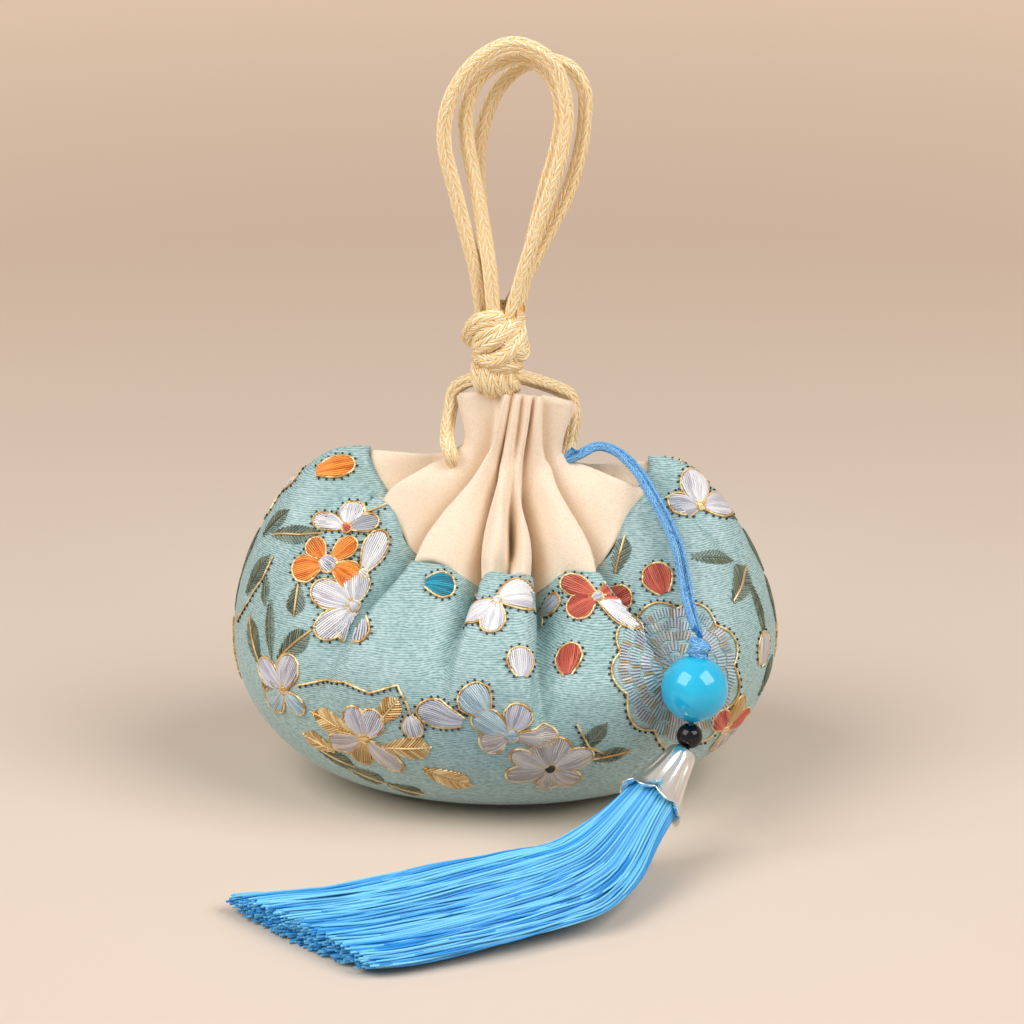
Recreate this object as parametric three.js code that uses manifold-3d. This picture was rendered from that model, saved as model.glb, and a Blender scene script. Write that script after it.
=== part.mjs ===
// Scented sachet: a plump brocade pouch of dried herbs with a pleated cotton collar, gathered by a satin
// drawstring that rises to a knot and a hanging loop of three turns, and a beaded tassel on a blue cord.
// Millimetres, +Z up, the front towards -Y, the origin on the ground under the middle of the pouch.

import * as THREE from 'three';
import { LoftGeometry } from 'three/addons/geometries/LoftGeometry.js';
import { mergeVertices } from 'three/addons/utils/BufferGeometryUtils.js';
import Module from 'manifold-3d';

// Fits: the gap between pieces that touch, the cotton's wall, the room between it and the filling, which
// grows towards the neck, and the crown of the filling inside the neck
const clearance = 0.3;
const cottonWall = 1.0;
const fillingSlack = 1.5;
const fillingTaper = 3;
const fillingTopWidth = 7;
const fillingTopDepth = 4;
const fillingTopRise = 29.5;
const fillingStep = 3;

// Pouch: the flat it sits on, its widest ring, the ring where brocade and cotton are sewn together and how
// full the cloth is between them, fuller on the left shoulder than on the right. The seam arches up over
// each pleat, and the cotton sinks behind the brocade's edge there
const baseWidth = 46;
const baseDepth = 30;
const bellyWidth = 103.8;
const bellyDepth = 74;
const bellyHeight = 27;
const seamWidth = 55;
const seamDepth = 46;
const seamShift = 0.8;
const seamFrontRise = 18.9;
const seamSideRise = 39.6;
const seamLean = 0.04;
const seamRisePower = 5;
const seamArch = 0.11;
const seamSink = 0.9;
const sinkEnd = 0.3;
const bottomRound = 0.5;
const leftShoulder = 0.5;
const rightShoulder = 0.43;

// Collar: the neck that the drawstring pinches, pulled up on its left, and the frill above it, both a
// little right of the middle; the frill slopes down to the right and to the back
const neckWidth = 18.6;
const neckDepth = 13;
const neckShift = 1.1;
const neckRise = 36;
const neckLeftLift = 2.4;
const neckLiftPower = 3;
const frillWidth = 24.4;
const frillDepth = 11;
const frillShift = 2.2;
const frillRise = 13.4;
const frillSlope = 0.09;
const frillBackDrop = 4;
const neckBend = 0.25;

// Folds: the depth of a tuck at the neck and in the frill, how much deeper it is half-way up to the neck,
// the back folds, which are all alike, and how quickly a tuck fades as a crease of the brocade
const neckTuck = 3.2;
const frillTuck = 2.2;
const middleTuck = 3.2;
const backFolds = 6;
const backSeamTuck = 5;
const backCrease = 0.9;
const creaseFade = 0.85;

// Cords
const satinDiameter = 2.8;
const blueDiameter = 1.5;
const coreDiameter = 1;

// Hanger knot: two crossed bights over a wrapped band, pulled tight round the strands inside them
const knotCentre = new THREE.Vector3(-1.4, 0, 85.6);
const knotRing = 4.1;
const knotTube = 2.1;
const knotTilt = 36;
const wrapCentre = new THREE.Vector3(-1.1, 0, 78.6);
const wrapRing = 2.5;
const wrapTube = 1.7;
const knotHeartReach = 1.6;
const knotHeartDrop = 0.4;

// Pendant: a blue bead that leans on the belly, a black bead under it and the knot that stops them
const blueBeadDiameter = 12;
const blackBeadDiameter = 4.7;
const beadBore = 2;
const pendantAzimuth = 37;
const pendantLevel = 0.085;
const beadLine = new THREE.Vector3(-0.1, -0.19, -0.975).normalize();
const capLine = new THREE.Vector3(-0.525, -0.648, -0.551).normalize();
const pendantKnotRing = 1.2;
const pendantKnotTube = 0.85;
const pendantKnotTilt = 16;
const pendantKnotSlip = 0.3;

// Tassel cap: a pressed bell with flutes that end in a scalloped, rolled rim; the shares are of its length
const capLength = 12.4;
const capTopDiameter = 5.2;
const capRimDiameter = 12.4;
const capHole = 2.8;
const capWall = 0.55;
const capFlutes = 8;
const fluteDepth = 0.45;
const scallopDepth = 1.0;
const rimRoll = 0.3;
const capShoulder = 0.06;
const capCone = 0.8;
const capFlarePower = 4;
const fluteStart = 0.12;
const fluteFull = 0.3;
const scallopStart = 0.7;

// Tassel: the skein of threads, round in the cap and fanned out flat where it lies on the ground
const tasselEndWidth = 33;
const tasselEndThickness = 5;
const tasselEndShear = 0.6;
const tasselRidge = 0.03;
const tasselRidges = 18;
const tasselHead = 0.3;
const fanStart = 0.04;
const fanEnd = 0.55;

const { degToRad } = THREE.MathUtils;
const turn = 2 * Math.PI;

// Folds of the cloth, clockwise from the front as seen from above: the azimuth of each tuck where it
// crosses the seam, the neck and the frill's edge, its depth there, the share of that depth on its left
// and on its right, which lays a pleat over its neighbour, and how far it creases the brocade
const frontFolds = [
  { seam: -64, neck: -67, frill: -88, left: 1, right: 0.1, seamTuck: 4.6, neckTuck: 4, frillTuck: 2, crease: 0.9 },
  { seam: -38.5, neck: -28, frill: -15, left: 1, right: 0.1, seamTuck: 6.2, neckTuck, frillTuck, crease: 1 },
  { seam: -11.5, neck: -13, frill: -3.5, left: 1, right: 0.3, seamTuck: 6, neckTuck, frillTuck, crease: 1 },
  { seam: 2, neck: 3, frill: 6, left: 1, right: 1, seamTuck: 0, neckTuck: 1.4, frillTuck, crease: 0 },
  { seam: 16, neck: 17, frill: 17, left: 1, right: 1, seamTuck: 8, neckTuck, frillTuck, crease: 1 },
  { seam: 37.5, neck: 45, frill: 27, left: 0.1, right: 1, seamTuck: 6, neckTuck, frillTuck, crease: 1 },
  { seam: 72, neck: 85, frill: 88, left: 0.1, right: 1, seamTuck: 4.6, neckTuck: 3.4, frillTuck: 2, crease: 0.9 },
];
const backSpan = { seam: [116, 244], neck: [118, 246], frill: [118, 242] };
const folds = [...frontFolds];
for (let i = 0; i < backFolds; i += 1) {
  const place = ([from, to]) => from + (to - from) * i / (backFolds - 1);
  folds.push({
    seam: place(backSpan.seam),
    neck: place(backSpan.neck),
    frill: place(backSpan.frill),
    left: 1,
    right: 1,
    seamTuck: backSeamTuck,
    neckTuck,
    frillTuck,
    crease: backCrease,
  });
}

// A column of the cloth: the fold on each side of it and its place between them; the last tenth of a
// pleat is the steep side of the tuck that ends it
const columnsPerPleat = 6;
const pleatFace = 0.9;
const columns = [];
folds.forEach((fold, i) => {
  const last = i === folds.length - 1;
  const next = last ? folds[0] : folds[i + 1];
  for (let k = 0; k < columnsPerPleat; k += 1) {
    columns.push({ fold, next, wrap: last ? 360 : 0, across: k / (columnsPerPleat - 1) });
  }
});

function columnAzimuth(column, level) {
  const from = column.fold[level];
  const to = column.next[level] + column.wrap;
  return degToRad(from + (to - from) * pleatFace * column.across);
}

// Depth of the cloth below the crests: it falls to the tuck on each side, which is uneven below the neck,
// and more softly where the tuck runs out as a crease of the brocade
const pleatPower = 2.4;
const creasePower = 1.5;
function tuckDepth(column, level, depthOf, power = pleatPower) {
  const even = THREE.MathUtils.clamp(level - 1, 0, 1);
  const left = THREE.MathUtils.lerp(column.fold.right, 1, even) * (1 - column.across) ** power;
  const right = THREE.MathUtils.lerp(column.next.left, 1, even) * column.across ** power;
  return left * depthOf(column.fold) + right * depthOf(column.next);
}

function ringPoint(azimuth, width, depth, height, shift = 0) {
  const x = shift + width / 2 * Math.sin(azimuth);
  const y = -depth / 2 * Math.cos(azimuth);
  return new THREE.Vector3(x, y, height);
}

function bellyPoint(azimuth) {
  return ringPoint(azimuth, bellyWidth, bellyDepth, bellyHeight);
}

function seamPoint(azimuth) {
  const sideShare = Math.abs(Math.sin(azimuth)) ** seamRisePower;
  const rise = seamFrontRise + (seamSideRise - seamFrontRise) * sideShare;
  const point = ringPoint(azimuth, seamWidth, seamDepth, bellyHeight + rise, seamShift);
  point.z -= seamLean * point.x;
  return point;
}

function neckPoint(azimuth) {
  const leftShare = ((1 - Math.sin(azimuth)) / 2) ** neckLiftPower;
  return ringPoint(azimuth, neckWidth, neckDepth, bellyHeight + neckRise + neckLeftLift * leftShare, neckShift);
}

function frillPoint(azimuth) {
  const point = ringPoint(azimuth, frillWidth, frillDepth, bellyHeight + neckRise + frillRise, frillShift);
  point.z -= frillSlope * point.x + frillBackDrop * (1 - Math.cos(azimuth)) / 2;
  return point;
}

// The pouch below its widest ring, from 0 at the flat to 1 at the belly
function lowerPoint(azimuth, along) {
  const flat = ringPoint(azimuth, baseWidth, baseDepth, 0);
  const belly = bellyPoint(azimuth);
  const flatHandle = flat.clone().lerp(new THREE.Vector3(belly.x, belly.y, 0), bottomRound);
  const bellyHandle = belly.clone().setZ(bellyHeight * (1 - bottomRound));
  return new THREE.CubicBezierCurve3(flat, flatHandle, bellyHandle, belly).getPoint(along);
}

// The pouch above its widest ring, from 0 at the belly to 1 at the seam, where it runs into the collar
function upperPoint(azimuth, along) {
  const belly = bellyPoint(azimuth);
  const seam = seamPoint(azimuth);
  const inward = neckPoint(azimuth).sub(seam).normalize();
  const span = Math.hypot(belly.x - seam.x, belly.y - seam.y);
  const full = THREE.MathUtils.lerp(leftShoulder, rightShoulder, (1 + Math.sin(azimuth)) / 2);
  const bellyHandle = belly.clone().setZ(belly.z + full * (seam.z - belly.z));
  const seamHandle = seam.clone().addScaledVector(inward, -full * span);
  return new THREE.CubicBezierCurve3(belly, bellyHandle, seamHandle, seam).getPoint(along);
}

// The collar without its pleats, from 0 at the seam over 1 at the neck to 2 at the frill's edge
function collarPoint(azimuths, level) {
  const seam = seamPoint(azimuths.seam);
  const neck = neckPoint(azimuths.neck);
  const frill = frillPoint(azimuths.frill);
  if (level <= 1 - neckBend) {
    return seam.lerp(neck, level);
  }
  if (level >= 1 + neckBend) {
    return neck.lerp(frill, level - 1);
  }
  const below = seam.lerp(neck, 1 - neckBend);
  const above = neck.clone().lerp(frill, neckBend);
  return new THREE.QuadraticBezierCurve3(below, neck, above).getPoint((level - 1 + neckBend) / (2 * neckBend));
}

// A point of a smooth surface, moved along the surface's outward normal
const probe = 1e-3;
function offsetPoint(surface, azimuth, along, distance) {
  const point = surface(azimuth, along);
  const around = surface(azimuth + probe, along).sub(surface(azimuth - probe, along));
  const upward = surface(azimuth, along + probe).sub(surface(azimuth, along - probe));
  return point.addScaledVector(around.cross(upward).normalize(), distance);
}

// How far the seam arches up at a column: not at a tuck of the seam, fully from half-way to the next one
function archShare(column) {
  const fromLeft = column.fold.seamTuck > 0 ? column.across : 1;
  const fromRight = column.next.seamTuck > 0 ? 1 - column.across : 1;
  return Math.sin(Math.PI * Math.min(0.5, fromLeft, fromRight));
}

function collarRing(ringLevel, inset) {
  return columns.map((column) => {
    const level = ringLevel + seamArch * archShare(column) * Math.max(0, 1 - ringLevel);
    const azimuths = {
      seam: columnAzimuth(column, 'seam'),
      neck: columnAzimuth(column, 'neck'),
      frill: columnAzimuth(column, 'frill'),
    };
    const turned = (swing, at) => collarPoint({
      seam: azimuths.seam + swing,
      neck: azimuths.neck + swing,
      frill: azimuths.frill + swing,
    }, at);
    const depthOf = (fold) => (level < 1
      ? THREE.MathUtils.lerp(fold.seamTuck, fold.neckTuck, level) + middleTuck * Math.sin(Math.PI * level)
      : THREE.MathUtils.lerp(fold.neckTuck, fold.frillTuck, level - 1));
    return offsetPoint(turned, 0, level, -inset - tuckDepth(column, level, depthOf));
  });
}

function upperRing(along) {
  return columns.map((column) => {
    const depthOf = (fold) => fold.seamTuck
      * THREE.MathUtils.smoothstep(along, 1 - fold.crease, 1) ** creaseFade;
    const power = THREE.MathUtils.lerp(creasePower, pleatPower, along);
    return offsetPoint(upperPoint, columnAzimuth(column, 'seam'), along, -tuckDepth(column, 0, depthOf, power));
  });
}

function lowerRing(along) {
  return columns.map((column) => lowerPoint(columnAzimuth(column, 'seam'), along));
}

// Brocade pouch, filled tight: the cloth from its flat base up to the seam, then a rebate under the
// collar and the top of the filling inside it
const underCollar = cottonWall + fillingSlack;
const underLevels = [0.32, 0.62];
const lowerRows = [0, 0.25, 0.5, 0.75];
const upperRows = [0, 0.2, 0.4, 0.58, 0.74, 0.88];
const fillingHeight = bellyHeight + fillingTopRise;
const fillingTop = columns.map((column) => {
  const azimuth = columnAzimuth(column, 'neck');
  return ringPoint(azimuth, fillingTopWidth, fillingTopDepth, fillingHeight, neckShift);
});
const pouchSections = [
  ...lowerRows.map((along) => lowerRing(along)),
  ...upperRows.map((along) => upperRing(along)),
  collarRing(0, 0),
  ...[0, ...underLevels].map((level) => collarRing(level, underCollar + fillingTaper * level)),
  collarRing(underLevels.at(-1), underCollar + fillingStep),
  fillingTop,
];
const pouchGeometry = new LoftGeometry(pouchSections, { capStart: true, capEnd: true });

// Cotton collar: one pleated band, from its hem at the seam over the neck to the frill and back inside
const hem = 0.02;
const outsideLevels = [hem, 0.18, 0.38, 0.58, 0.75, 0.88, 1, 1.12, 1.25, 1.6, 2];
const insideLevels = [2, 1.6, 1.25, 1.1, 0.88, ...underLevels.toReversed(), hem];
const sink = (level) => seamSink * Math.max(0, 1 - level / sinkEnd);
const collarSections = [
  ...outsideLevels.map((level) => collarRing(level, sink(level))),
  ...insideLevels.map((level) => collarRing(level, cottonWall + sink(level))),
];
const collarGeometry = new LoftGeometry([...collarSections, collarSections[0]]);

// A tube along a smooth line through hand-placed points, with eight sides
const cordSides = 8;
function cordGeometry(points, diameter, steps) {
  const corners = [];
  for (let i = 0; i < cordSides; i += 1) {
    const angle = turn * i / cordSides;
    corners.push(new THREE.Vector2(Math.cos(angle), Math.sin(angle)).multiplyScalar(diameter / 2));
  }
  const extrudePath = new THREE.CatmullRomCurve3(points, false, 'centripetal');
  return new THREE.ExtrudeGeometry(new THREE.Shape(corners), { steps, extrudePath });
}

function places(triples) {
  return triples.map(([x, y, z]) => new THREE.Vector3(x, y, z));
}

// Closed meshes become solids to be joined, and come back as a plain mesh
const mergeWithin = 1e-4;
const wasm = await Module();
wasm.setup();

function toSolid(geometry) {
  const bare = geometry.clone();
  bare.deleteAttribute('normal');
  bare.deleteAttribute('uv');
  const merged = mergeVertices(bare, mergeWithin);
  const vertProperties = new Float32Array(merged.attributes.position.array);
  const triVerts = new Uint32Array(merged.index.array);
  return new wasm.Manifold(new wasm.Mesh({ numProp: 3, vertProperties, triVerts }));
}

function joined(geometries) {
  const [first, ...rest] = geometries.map(toSolid);
  const mesh = rest.reduce((whole, solid) => whole.add(solid), first).getMesh();
  const geometry = new THREE.BufferGeometry();
  geometry.setAttribute('position', new THREE.BufferAttribute(mesh.vertProperties, 3));
  geometry.setIndex(new THREE.BufferAttribute(mesh.triVerts, 1));
  geometry.computeVertexNormals();
  return geometry;
}

// A ring of cord lying flat, then tipped sideways by an angle and put at its centre
function bight(ring, tube, tip, centre, sides = 8, steps = 16) {
  const geometry = new THREE.TorusGeometry(ring, tube, sides, steps);
  geometry.rotateY(degToRad(tip));
  return geometry.translate(centre.x, centre.y, centre.z);
}

// The strands gathered inside a knot
function knotHeart(radius, height, centre) {
  const geometry = new THREE.SphereGeometry(1, 10, 8);
  geometry.rotateX(Math.PI / 2);
  geometry.scale(radius, radius, height / 2);
  return geometry.translate(centre.x, centre.y, centre.z);
}

// Hanger knot, tied in the two legs of the drawstring where they leave the frill
const heartHeight = knotHeartReach * (knotCentre.z - wrapCentre.z);
const heartCentre = knotCentre.clone().lerp(wrapCentre, knotHeartDrop);
const hangerKnotGeometry = joined([
  bight(knotRing, knotTube, knotTilt, knotCentre),
  bight(knotRing, knotTube, -knotTilt, knotCentre),
  bight(wrapRing, wrapTube, 0, wrapCentre),
  knotHeart(wrapRing + wrapTube / 2, heartHeight, heartCentre),
]);

// Drawstring legs, from the slits in the neck's casing up each side of the frill to the wrapped band
const leftLeg = places([
  [-9.8, -5.2, 64.6], [-10.6, -3.4, 66.6], [-10.5, 0.4, 69], [-10, 2.6, 71.6], [-9.6, 3.3, 74.4],
  [-7.7, 2.1, 76.6], [-5.5, 0.4, 77.8],
]);
const rightLeg = places([
  [12, 3.2, 63.8], [12.5, 4.3, 66.5], [12.9, 5, 70], [12.2, 5.1, 73.2], [9.8, 3.8, 75], [6.5, 1.8, 76.8],
  [3.4, 0.3, 78.2],
]);

// Hanging loop: three turns of the satin cord standing up from the knot, front to back
const frontTurn = places([
  [-4.1, 0.1, 90.5], [-5.3, -0.7, 98.7], [-8.6, -1, 112], [-10.9, -1.2, 123.3], [-9.4, -1.3, 130.8],
  [-4.6, -1.5, 137.4], [1.8, -1.7, 140.2], [8.4, -2, 137], [11.1, -2.3, 128.3], [10.4, -2.5, 121.4],
  [8.4, -2.7, 114.3], [4.6, -2.9, 103], [0.9, -2.9, 90.1],
]);
const middleTurn = places([
  [-1.9, -2.8, 90], [-2.7, -2, 99], [-3.9, -0.5, 107], [-5.4, 0.8, 115], [-6.8, 1.6, 122.5],
  [-6.8, 1.8, 128], [-4.4, 1.8, 133.4], [0.4, 1.8, 136.6], [4.4, 1.7, 136.8], [8.4, 1.5, 133.4],
  [10.1, 1.2, 127.6], [9.3, 1, 121], [7.4, 0.7, 114], [4.8, 0.3, 103], [2.4, 0, 90.5],
]);
const rearTurn = places([
  [-2.8, 3, 90], [-3.4, 3.6, 100], [-4.4, 4.4, 109], [-4.8, 4.9, 116], [-4.4, 5, 121.5],
  [-3.3, 5, 126], [-1, 5, 131], [3, 5, 134.8], [8, 5, 136], [12, 4.9, 134.6],
  [14.3, 4.8, 131], [14.6, 4.7, 126.5], [13.6, 4.4, 119], [11.5, 4.1, 112], [6.6, 3.5, 102], [0.7, 3, 90.4],
]);
const turnSteps = 14;
const legSteps = 5;

// Blue cord: two strands side by side from the neck over the collar and down the belly
const blueLine = places([
  [11.8, -5.2, 62.2], [13.9, -1.4, 63.9], [17.2, -0.6, 65.2], [20.8, -2.4, 64.6], [24.5, -5.6, 61.8],
  [27.3, -11.4, 58.5], [29.7, -14.2, 54.5], [31.6, -17.4, 50.4], [32.7, -20.4, 44.8], [33.4, -24.2, 41.9],
  [34, -28.6, 40.4], [34.4, -31.6, 39.7],
]);
const blueSteps = 15;
const coreSteps = 16;

// Pendant: each piece takes its place from the one above it on the core
const blueBeadRadius = blueBeadDiameter / 2;
const blackBeadRadius = blackBeadDiameter / 2;
const beadSeat = blueBeadRadius + clearance;
const blueBeadCentre = offsetPoint(upperPoint, degToRad(pendantAzimuth), pendantLevel, beadSeat);
const blackBeadCentre = blueBeadCentre.clone().addScaledVector(beadLine, beadSeat + blackBeadRadius);
const capTurn = beadLine.clone().add(capLine).normalize();
const capDrop = (blackBeadRadius + clearance) / capTurn.dot(capLine);
const capTop = blackBeadCentre.clone().addScaledVector(capTurn, capDrop);
const knotDrop = beadSeat + pendantKnotTube;
const pendantKnotCentre = blueBeadCentre.clone().addScaledVector(beadLine, -knotDrop);

// A round bead with a bore, turned about its own axis
function beadGeometry(diameter, bore, rows, sides) {
  const radius = diameter / 2;
  const mouth = Math.acos(bore / 2 / radius);
  const profile = [];
  for (let i = 0; i <= rows; i += 1) {
    const latitude = -mouth + 2 * mouth * i / rows;
    profile.push(new THREE.Vector2(radius * Math.cos(latitude), radius * Math.sin(latitude)));
  }
  return new THREE.LatheGeometry([...profile, profile[0].clone()], sides);
}

// Tassel cap, from a holed top down to a scalloped rim; the inside is plain
const pointsPerFlute = 6;
const capSides = capFlutes * pointsPerFlute;

function capRadius(share) {
  const flare = capCone * share + (1 - capCone) * share ** capFlarePower;
  return THREE.MathUtils.lerp(capTopDiameter, capRimDiameter, flare) / 2;
}

function fluteShare(share) {
  return fluteDepth * THREE.MathUtils.smoothstep(share, fluteStart, fluteFull);
}

function capInnerRadius(share) {
  return capRadius(share) - fluteShare(share) - capWall;
}

function capRing(share, radiusOf, scalloped) {
  const ring = [];
  for (let i = 0; i < capSides; i += 1) {
    const angle = turn * i / capSides;
    const notch = 1 - Math.abs(Math.cos(capFlutes / 2 * angle));
    const radius = radiusOf(notch);
    const trim = scalloped ? scallopDepth * THREE.MathUtils.smoothstep(share, scallopStart, 1) * notch : 0;
    ring.push(new THREE.Vector3(radius * Math.cos(angle), radius * Math.sin(angle), capLength * share - trim));
  }
  return ring;
}

const capOutsideRows = [capShoulder, 0.2, 0.32, 0.55, 0.78, 0.92];
const capInsideRows = [1, 0.75, 0.4, 0.14];
const capOutside = capOutsideRows.map((share) => (
  capRing(share, (notch) => capRadius(share) - fluteShare(share) * notch, true)
));
const capInside = capInsideRows.map((share) => (
  capRing(share, () => capInnerRadius(share), share === 1)
));
const capSections = [
  capRing(0, () => capHole / 2, false),
  capRing(0, () => capRadius(0) - capWall, false),
  ...capOutside,
  capRing(1, (notch) => capRadius(1) + rimRoll - fluteShare(1) * notch, true),
  ...capInside,
  capRing(capWall / capLength, () => capHole / 2, false),
];
const capGeometry = new LoftGeometry([...capSections, capSections[0]]);

// Tassel: round in the cap, bending down to the ground and fanning out over it
const rimCentre = capTop.clone().addScaledVector(capLine, capLength);
const onGround = places([
  [15, -55, 5.6], [8, -58.6, 4.3], [-3, -64, 3.4], [-14, -69.4, 2.9], [-25, -73.6, 2.6], [-35.6, -76.3, 2.5],
]);
const tasselTop = capTop.clone().addScaledVector(capLine, capLength * tasselHead);
const tasselLine = new THREE.CatmullRomCurve3([tasselTop, rimCentre, ...onGround], false, 'centripetal');
const tasselRows = 14;
const tasselSections = [];
for (let i = 0; i <= tasselRows; i += 1) {
  const share = i / tasselRows;
  const centre = tasselLine.getPointAt(share);
  const along = tasselLine.getTangentAt(share);
  const across = new THREE.Vector3(0, 0, 1).cross(along).normalize();
  const upward = along.clone().cross(across);
  const depthInCap = centre.clone().sub(capTop).dot(capLine) / capLength;
  const bound = 2 * (capInnerRadius(Math.min(1, depthInCap)) - clearance);
  const spread = THREE.MathUtils.smoothstep(share, fanStart, fanEnd);
  const inCap = depthInCap <= 1;
  const width = inCap ? bound : THREE.MathUtils.lerp(bound, tasselEndWidth, spread);
  const thickness = inCap ? bound : THREE.MathUtils.lerp(bound, tasselEndThickness, spread);
  const section = [];
  for (let k = 0; k < 2 * tasselRidges; k += 1) {
    const angle = turn * k / (2 * tasselRidges);
    const ridge = 1 - tasselRidge * (k % 2);
    const aside = width / 2 * ridge * Math.cos(angle);
    const point = centre.clone()
      .addScaledVector(across, aside)
      .addScaledVector(upward, thickness / 2 * ridge * Math.sin(angle))
      .addScaledVector(along, inCap ? 0 : -tasselEndShear * spread * aside);
    section.push(point.setZ(Math.max(0, point.z)));
  }
  tasselSections.push(section);
}
const tasselGeometry = new LoftGeometry(tasselSections, { capStart: true, capEnd: true });

// Core: the end of the blue cord, through both beads and into the cap
const coreGeometry = cordGeometry([
  blueBeadCentre.clone().addScaledVector(beadLine, clearance - blueBeadRadius),
  blackBeadCentre,
  blackBeadCentre.clone().addScaledVector(beadLine, blackBeadRadius),
  capTop,
  capTop.clone().addScaledVector(capLine, capLength * tasselHead - clearance),
], coreDiameter, coreSteps);

// A named piece with the finish of its material
const finishes = {
  brocade: { color: 0x9cc9c6, roughness: 0.75, metalness: 0 },
  cotton: { color: 0xebcba6, roughness: 0.9, metalness: 0 },
  satin: { color: 0xf5d998, roughness: 0.45, metalness: 0 },
  blue: { color: 0x2a97e8, roughness: 0.5, metalness: 0 },
  cyanGlass: { color: 0x22bfe4, roughness: 0.08, metalness: 0 },
  blackGlass: { color: 0x111111, roughness: 0.1, metalness: 0 },
  silver: { color: 0xd8d6d4, roughness: 0.2, metalness: 1 },
};
const sachet = new THREE.Group();

function addPiece(name, geometry, finish) {
  const mesh = new THREE.Mesh(geometry, new THREE.MeshStandardMaterial(finishes[finish]));
  mesh.name = name;
  sachet.add(mesh);
  return mesh;
}

// A piece built on its own axis, turned to lie along a line and put in its place
function addTurned(name, geometry, finish, axis, line, place) {
  const mesh = addPiece(name, geometry, finish);
  mesh.quaternion.setFromUnitVectors(axis, line);
  mesh.position.copy(place);
}

const lathed = new THREE.Vector3(0, -1, 0);
const lofted = new THREE.Vector3(0, 0, 1);
addPiece('brocade_pouch', pouchGeometry, 'brocade');
addPiece('cotton_collar', collarGeometry, 'cotton');
addPiece('drawstring_left', cordGeometry(leftLeg, satinDiameter, legSteps), 'satin');
addPiece('drawstring_right', cordGeometry(rightLeg, satinDiameter, legSteps), 'satin');
addPiece('hanger_knot', hangerKnotGeometry, 'satin');
addPiece('hanger_turn_front', cordGeometry(frontTurn, satinDiameter, turnSteps), 'satin');
addPiece('hanger_turn_middle', cordGeometry(middleTurn, satinDiameter, turnSteps), 'satin');
addPiece('hanger_turn_rear', cordGeometry(rearTurn, satinDiameter, turnSteps), 'satin');

const strandSide = (blueDiameter + clearance) / 2;
const strands = [['blue_strand_left', -1], ['blue_strand_right', 1]];
strands.forEach(([name, side]) => {
  const line = new THREE.CatmullRomCurve3(blueLine, false, 'centripetal');
  const points = blueLine.map((point, i) => {
    const along = line.getTangent(i / (blueLine.length - 1));
    const outward = new THREE.Vector3(point.x, point.y, point.z - bellyHeight).normalize();
    const aside = outward.cross(along).normalize();
    return point.clone().addScaledVector(aside, side * strandSide);
  });
  addPiece(name, cordGeometry(points, blueDiameter, blueSteps), 'blue');
});

const pendantKnotGeometry = joined([
  bight(pendantKnotRing, pendantKnotTube, pendantKnotTilt, new THREE.Vector3(), 6, 10),
  bight(pendantKnotRing, pendantKnotTube, -pendantKnotTilt, new THREE.Vector3(0, 0, -pendantKnotSlip), 6, 10),
  knotHeart(pendantKnotRing, pendantKnotTube * 2, new THREE.Vector3()),
]);
const blueBeadGeometry = beadGeometry(blueBeadDiameter, beadBore, 10, 24);
const blackBeadGeometry = beadGeometry(blackBeadDiameter, beadBore, 6, 16);
addTurned('pendant_knot', pendantKnotGeometry, 'blue', lofted, beadLine, pendantKnotCentre);
addTurned('blue_bead', blueBeadGeometry, 'cyanGlass', lathed, beadLine, blueBeadCentre);
addTurned('black_bead', blackBeadGeometry, 'blackGlass', lathed, beadLine, blackBeadCentre);
addPiece('pendant_core', coreGeometry, 'blue');
addTurned('tassel_cap', capGeometry, 'silver', lofted, capLine, capTop);
addPiece('tassel', tasselGeometry, 'blue');

export default sachet;
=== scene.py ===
import math
import random

import bmesh
import bpy
from mathutils import Matrix, Vector
from mathutils.bvhtree import BVHTree
from mathutils.kdtree import KDTree


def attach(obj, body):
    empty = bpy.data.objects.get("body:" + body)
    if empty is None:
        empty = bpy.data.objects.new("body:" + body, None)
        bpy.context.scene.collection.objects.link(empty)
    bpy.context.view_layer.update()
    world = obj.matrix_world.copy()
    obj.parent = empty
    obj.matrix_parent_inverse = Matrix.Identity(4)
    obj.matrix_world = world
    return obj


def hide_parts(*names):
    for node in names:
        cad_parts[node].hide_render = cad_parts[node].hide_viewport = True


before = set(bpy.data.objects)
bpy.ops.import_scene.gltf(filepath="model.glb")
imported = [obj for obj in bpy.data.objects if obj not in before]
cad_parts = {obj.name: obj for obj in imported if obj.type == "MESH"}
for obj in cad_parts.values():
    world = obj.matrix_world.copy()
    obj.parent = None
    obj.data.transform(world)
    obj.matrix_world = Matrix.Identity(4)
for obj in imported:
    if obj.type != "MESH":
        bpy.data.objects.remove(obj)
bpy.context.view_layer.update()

# Brocade pouch: a bag of woven silk, packed tight with dried herbs and gathered at its mouth.
# The cloth is the solid's own form, smoothed, with a hard fold only where it is tucked or turned under.
# Soft folds run down its belly, and the filling's top is drawn in under the collar.
MM = 0.001
pouch_heart = Vector((1, 0, 35)) * MM
weft_pitch = 0.36 * MM
stroke_length = 0.9 * MM
stroke_height = 0.28 * MM
tone_patch = 22 * MM


def linear(colour):
    """An sRGB hex colour as the linear RGBA that a shader takes."""
    shares = [int(colour[i : i + 2], 16) / 255 for i in (1, 3, 5)]
    return [s / 12.92 if s <= 0.04045 else ((s + 0.055) / 1.055) ** 2.4 for s in shares] + [1.0]


def add_node(material, kind, inputs, **settings):
    """Adds a shader node: its own settings, and its sockets as values or as links from other nodes."""
    node = material.node_tree.nodes.new("ShaderNode" + kind)
    for name, value in settings.items():
        setattr(node, name, value)
    for name, value in inputs.items():
        if isinstance(value, bpy.types.NodeSocket):
            material.node_tree.links.new(value, node.inputs[name])
        else:
            node.inputs[name].default_value = value
    return node


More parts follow.
